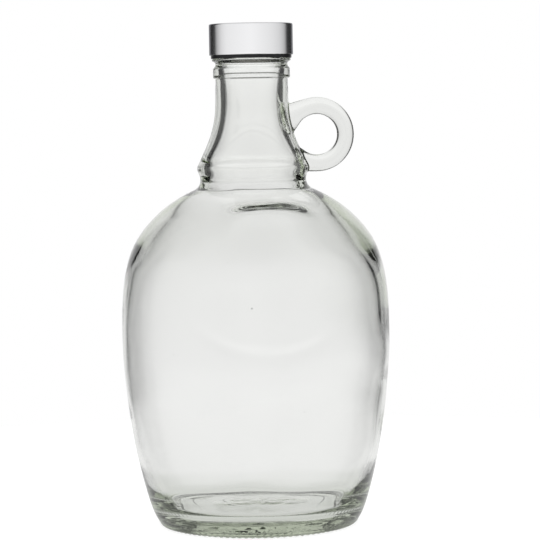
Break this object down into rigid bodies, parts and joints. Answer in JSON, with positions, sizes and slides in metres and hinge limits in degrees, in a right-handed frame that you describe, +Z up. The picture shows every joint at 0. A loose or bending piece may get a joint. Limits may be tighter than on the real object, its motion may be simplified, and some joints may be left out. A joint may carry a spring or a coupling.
{
  "type": "growler",
  "caption": "Round-bellied clear glass bottle with a narrow ringed neck, a small finger loop beside the neck and a threaded screw cap.",
  "frame": {"origin": "on the bottle's axis, in the plane of the bearing ring that it stands on", "axes": "+Z up along the bottle's axis, +X from the axis towards the finger loop, +Y away from the viewer who has the loop on the right"},
  "size_m": [0.13, 0.13, 0.2429],
  "materials": {
    "bottle_glass": "clear, smooth, faintly grey-green",
    "cap_metal": "satin, lacquered",
    "cap_plastic": "moulded black, semi-matt",
    "liner_foam": "pale foamed sheet, matt"
  },
  "bodies": {
    "bottle": {"bottle_body": "bottle_glass", "bottle_neck": "bottle_glass", "finger_loop": "bottle_glass"},
    "liner": {"cap_liner": "liner_foam"},
    "cap": {"cap_shell": "cap_metal", "cap_insert": "cap_plastic"}
  },
  "joints": [
    {"name": "cap_lift", "type": "slide", "parent": "bottle", "child": "liner", "axis": [0, 0, 1], "range_m": [0, 0.0178]},
    {"name": "cap_turn", "type": "hinge", "parent": "liner", "child": "cap", "pos_m": [0, 0, 0.2404], "axis": [0, 0, 1], "range_deg": [0, 1500]}
  ],
  "couplings": [
    {"joint": "cap_lift", "follows": "cap_turn", "m_per_rad": 0.00067375}
  ]
}
